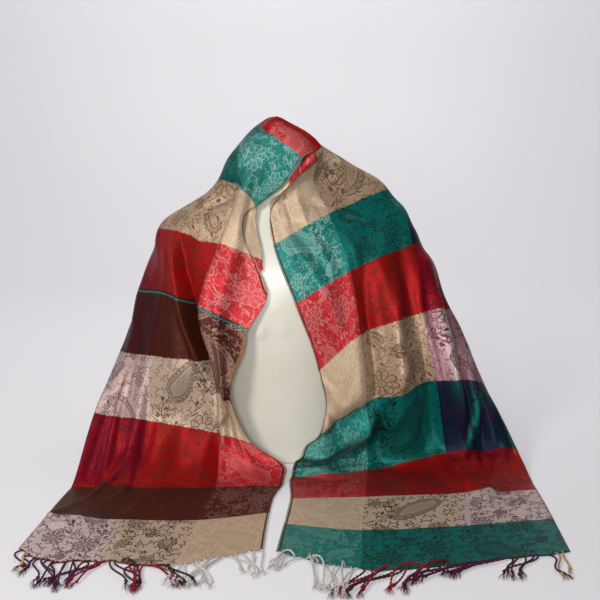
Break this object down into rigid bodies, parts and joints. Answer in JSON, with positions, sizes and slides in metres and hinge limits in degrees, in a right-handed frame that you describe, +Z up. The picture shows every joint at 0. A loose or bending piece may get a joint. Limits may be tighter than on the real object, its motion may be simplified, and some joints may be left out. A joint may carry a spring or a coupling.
{
  "type": "pashmina shawl on a bust form",
  "caption": "Striped jacquard pashmina shawl with fringed ends, folded along its length and draped over a limbless bust form, its ends lying forward on the table",
  "frame": {"origin": "centre of the footprint, on the surface that the bust and the shawl's ends rest on", "axes": "+Z up; the bust faces -Y and the shawl's ends lie towards -Y; +X is the wearer's left"},
  "size_m": [0.7958, 0.649, 0.5768],
  "materials": {
    "cloth": "satin jacquard weave in stripes of red, teal, brown and beige with flower, vine and paisley figures",
    "fringe": "twisted warp ends, knotted, in grey-white, dark red, purple and gold",
    "bust": "smooth cream-white gloss"
  },
  "bodies": {
    "root": {"bust_form": "bust", "shawl_left": "cloth", "shawl_back": "cloth", "shawl_right": "cloth", "fringe_left": "fringe", "fringe_right": "fringe"}
  },
  "joints": []
}
